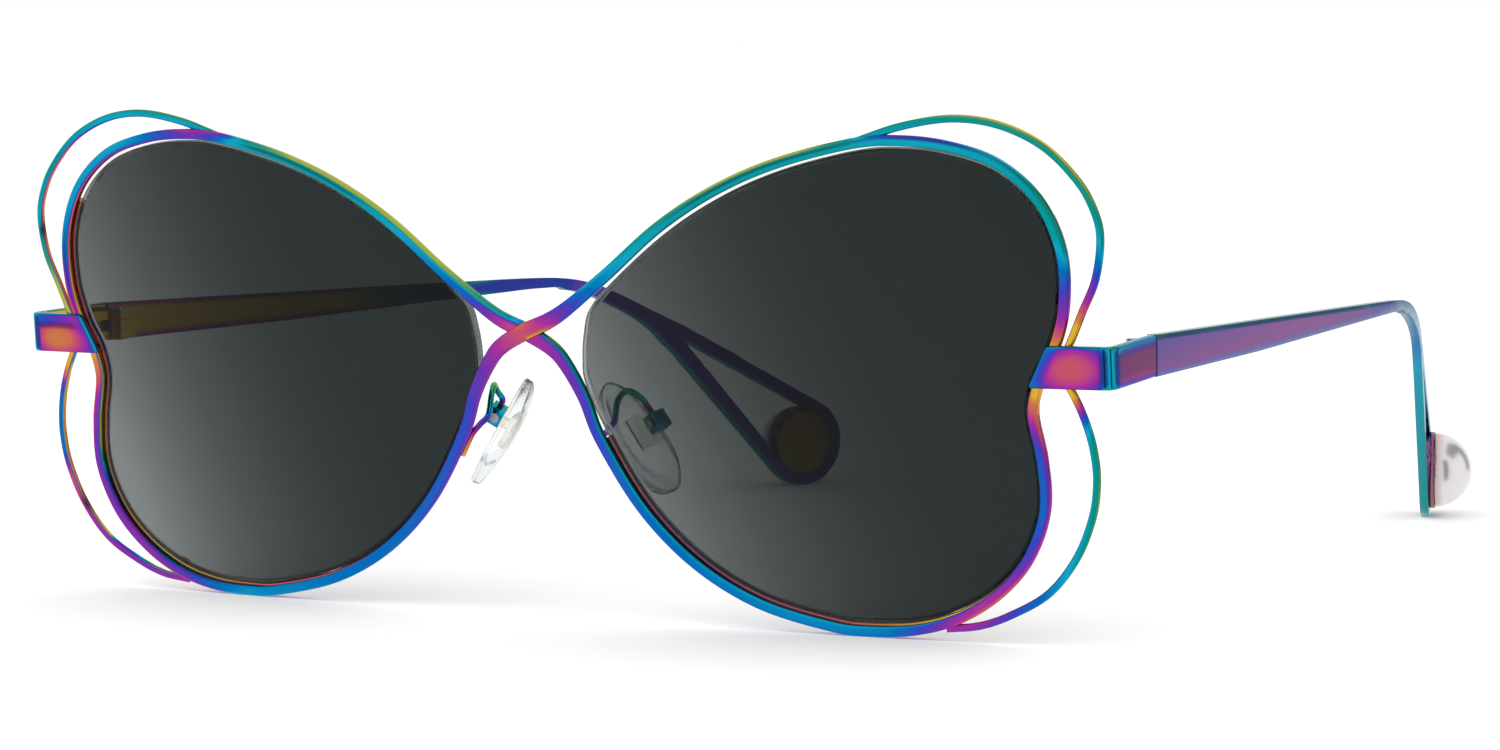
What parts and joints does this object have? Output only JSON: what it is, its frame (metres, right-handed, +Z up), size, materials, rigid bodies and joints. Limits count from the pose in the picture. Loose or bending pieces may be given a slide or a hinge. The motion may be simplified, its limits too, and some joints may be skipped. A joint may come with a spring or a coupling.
{
  "type": "butterfly sunglasses",
  "caption": "Butterfly sunglasses with wire frames crossing at the bridge, thin wing wires, tinted lenses, silicone nose pads and hinged temples that end in pearls.",
  "frame": {"origin": "middle of the footprint's box, on the surface that the sunglasses stand on", "axes": "the wearer looks along -Y, +X is the wearer's left, +Z is up"},
  "size_m": [0.149, 0.1548, 0.0586],
  "materials": {
    "plated_metal": "iridescent oil-slick plating, gloss",
    "temple_metal": "iridescent oil-slick plating, gloss",
    "fitting_metal": "iridescent oil-slick plating, gloss",
    "tray_metal": "iridescent oil-slick plating, gloss",
    "screw_steel": "polished",
    "tinted_lens": "grey-green tint, gloss",
    "clear_nylon": "clear",
    "clear_silicone": "clear, soft",
    "pad_core": "translucent",
    "pearl_plastic": "pearl lustre"
  },
  "bodies": {
    "front": {"rim_wire_over": "plated_metal", "rim_wire_under": "plated_metal", "wing_wire_upper_left": "plated_metal", "wing_wire_upper_right": "plated_metal", "wing_wire_lower_left": "plated_metal", "wing_wire_lower_right": "plated_metal", "eyewire_left": "plated_metal", "eyewire_right": "plated_metal", "lens_left": "tinted_lens", "lens_right": "tinted_lens", "nylon_cord_left": "clear_nylon", "nylon_cord_right": "clear_nylon", "end_piece_left": "plated_metal", "end_piece_right": "plated_metal", "hinge_front_left": "fitting_metal", "hinge_front_right": "fitting_metal", "hinge_screw_left": "screw_steel", "hinge_screw_right": "screw_steel", "pad_arm_left": "fitting_metal", "pad_arm_right": "fitting_metal", "pad_box_left": "fitting_metal", "pad_box_right": "fitting_metal", "pad_screw_left": "screw_steel", "pad_screw_right": "screw_steel"},
    "temple_left": {"temple_left": "temple_metal", "hinge_temple_left": "fitting_metal", "pearl_tray_left": "tray_metal", "pearl_left": "pearl_plastic"},
    "temple_right": {"temple_right": "temple_metal", "hinge_temple_right": "fitting_metal", "pearl_tray_right": "tray_metal", "pearl_right": "pearl_plastic"},
    "pad_left": {"pad_insert_left": "pad_core", "nose_pad_left": "clear_silicone"},
    "pad_right": {"pad_insert_right": "pad_core", "nose_pad_right": "clear_silicone"}
  },
  "joints": [
    {"name": "temple_left_fold", "type": "hinge", "parent": "front", "child": "temple_left", "pos_m": [0.0707, -0.06125, 0.0314], "axis": [0, 0, 1], "range_deg": [0, 84]},
    {"name": "temple_right_fold", "type": "hinge", "parent": "front", "child": "temple_right", "pos_m": [-0.0707, -0.06125, 0.0314], "axis": [0, 0, -1], "range_deg": [0, 77]},
    {"name": "pad_left_rock", "type": "hinge", "parent": "front", "child": "pad_left", "pos_m": [0.01135, -0.06564, 0.02261], "axis": [0.2835, 0.9234, 0.2588], "range_deg": [-10, 10]},
    {"name": "pad_right_rock", "type": "hinge", "parent": "front", "child": "pad_right", "pos_m": [-0.01135, -0.06564, 0.02261], "axis": [-0.2835, 0.9234, 0.2588], "range_deg": [-10, 10]}
  ]
}
